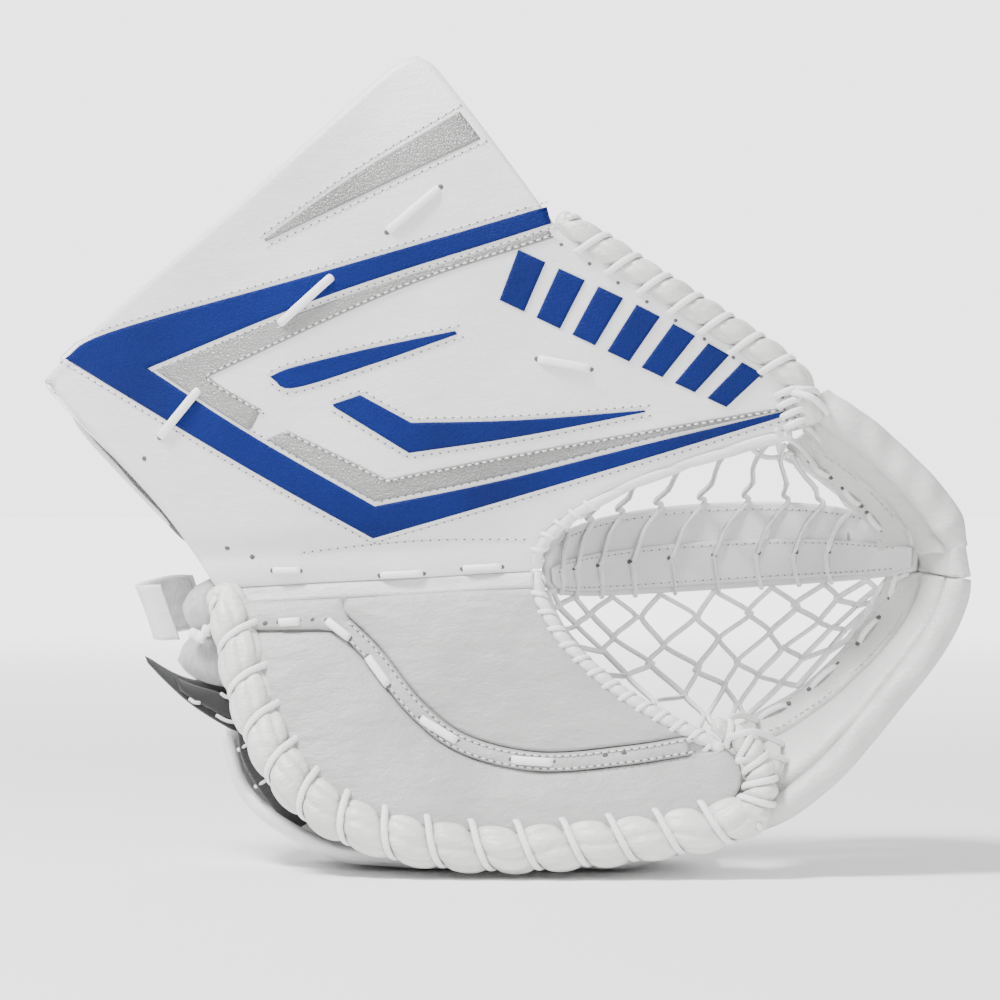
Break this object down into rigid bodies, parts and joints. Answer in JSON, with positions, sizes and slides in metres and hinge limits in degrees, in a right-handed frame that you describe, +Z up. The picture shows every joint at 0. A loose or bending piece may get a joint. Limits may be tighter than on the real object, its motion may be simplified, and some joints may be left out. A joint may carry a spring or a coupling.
{
  "type": "goalie catch glove",
  "caption": "Goalie catch glove with a folding thumb board and cuff, T-shaped web, laced net pocket, padded finger shell and hand strap.",
  "frame": {"origin": "middle of the glove's box, on the surface it stands on", "axes": "+X from the cuff corner to the apex of the web, +Y from the open palm to the back, +Z up from the finger rim"},
  "size_m": [0.4038, 0.1279, 0.3512],
  "materials": {
    "white_leather": "smooth white synthetic leather",
    "palm_leather": "soft greyed white leather",
    "blue_leather": "royal blue synthetic leather",
    "silver_leather": "silver grey grained leather",
    "lace": "white waxed lace",
    "foam": "dark closed-cell foam",
    "stiffener": "moulded sheet plastic",
    "terry_liner": "dark terry lining",
    "satin_liner": "grey satin lining",
    "black_webbing": "black woven webbing"
  },
  "bodies": {
    "palm_half": {"backhand_pad": "white_leather", "finger_back_foam": "foam", "finger_back_shell": "white_leather", "finger_stall_index": "terry_liner", "finger_stall_little": "terry_liner", "finger_stall_middle": "terry_liner", "finger_stall_ring": "terry_liner", "hand_strap_base": "black_webbing", "heel_pad": "white_leather", "heel_satin_liner": "satin_liner", "net_lower": "lace", "palm_edge_lacing": "lace", "palm_edge_roll": "palm_leather", "palm_foam_pad": "foam", "palm_liner": "terry_liner", "palm_lower_panel": "palm_leather", "palm_seam_strip": "palm_leather", "palm_stiffener_board": "stiffener", "palm_tie_finger": "lace", "palm_tie_heel": "lace", "palm_tie_middle": "lace", "palm_tie_side": "lace", "palm_upper_panel": "palm_leather", "pocket_rim_palm": "white_leather", "t_lower_arm": "white_leather", "t_lower_flap": "white_leather", "t_lower_roll": "white_leather"},
    "spine": {"break_strip": "palm_leather", "t_stem": "palm_leather", "t_apex_gusset": "palm_leather", "crotch_binding": "white_leather"},
    "thumb_half": {"blue_chevron": "blue_leather", "blue_dart_lower": "blue_leather", "blue_dart_upper": "blue_leather", "cuff_face_panel": "white_leather", "cuff_foam_core": "foam", "cuff_liner_panel": "terry_liner", "cuff_stiffener_board": "stiffener", "cuff_strap_loop": "white_leather", "cuff_tie_heel": "lace", "cuff_tie_middle": "lace", "cuff_tie_thumb": "lace", "cuff_tie_top": "lace", "emblem_patch": "blue_leather", "net_upper": "lace", "pocket_rim_thumb": "white_leather", "silver_flash": "silver_leather", "silver_lower_band": "silver_leather", "silver_upper_band": "silver_leather", "t_upper_arm": "white_leather", "t_upper_flap": "white_leather", "t_upper_roll": "white_leather", "thumb_back_shell": "white_leather", "thumb_edge_lacing": "lace", "thumb_edge_roll": "white_leather", "thumb_stall": "terry_liner"},
    "strap_tab": {"hand_strap_tab": "black_webbing"}
  },
  "joints": [
    {"name": "pocket_fold", "type": "hinge", "parent": "palm_half", "child": "spine", "pos_m": [-0.1297, -0.006, 0.1175], "axis": [0.9878, -0.1448, 0.0565], "range_deg": [0, 38], "stiffness_Nm_per_rad": 4},
    {"name": "thumb_fold", "type": "hinge", "parent": "spine", "child": "thumb_half", "pos_m": [-0.1297, -0.006, 0.1255], "axis": [0.9878, -0.1448, 0.0565], "range_deg": [0, 38], "stiffness_Nm_per_rad": 4},
    {"name": "strap_tab_bend", "type": "hinge", "parent": "palm_half", "child": "strap_tab", "pos_m": [-0.1187, 0.004, 0.0715], "axis": [-0.361, 0, 0.9326], "range_deg": [-26, 25]}
  ],
  "couplings": [
    {"joint": "thumb_fold", "follows": "pocket_fold", "ratio": 1}
  ]
}
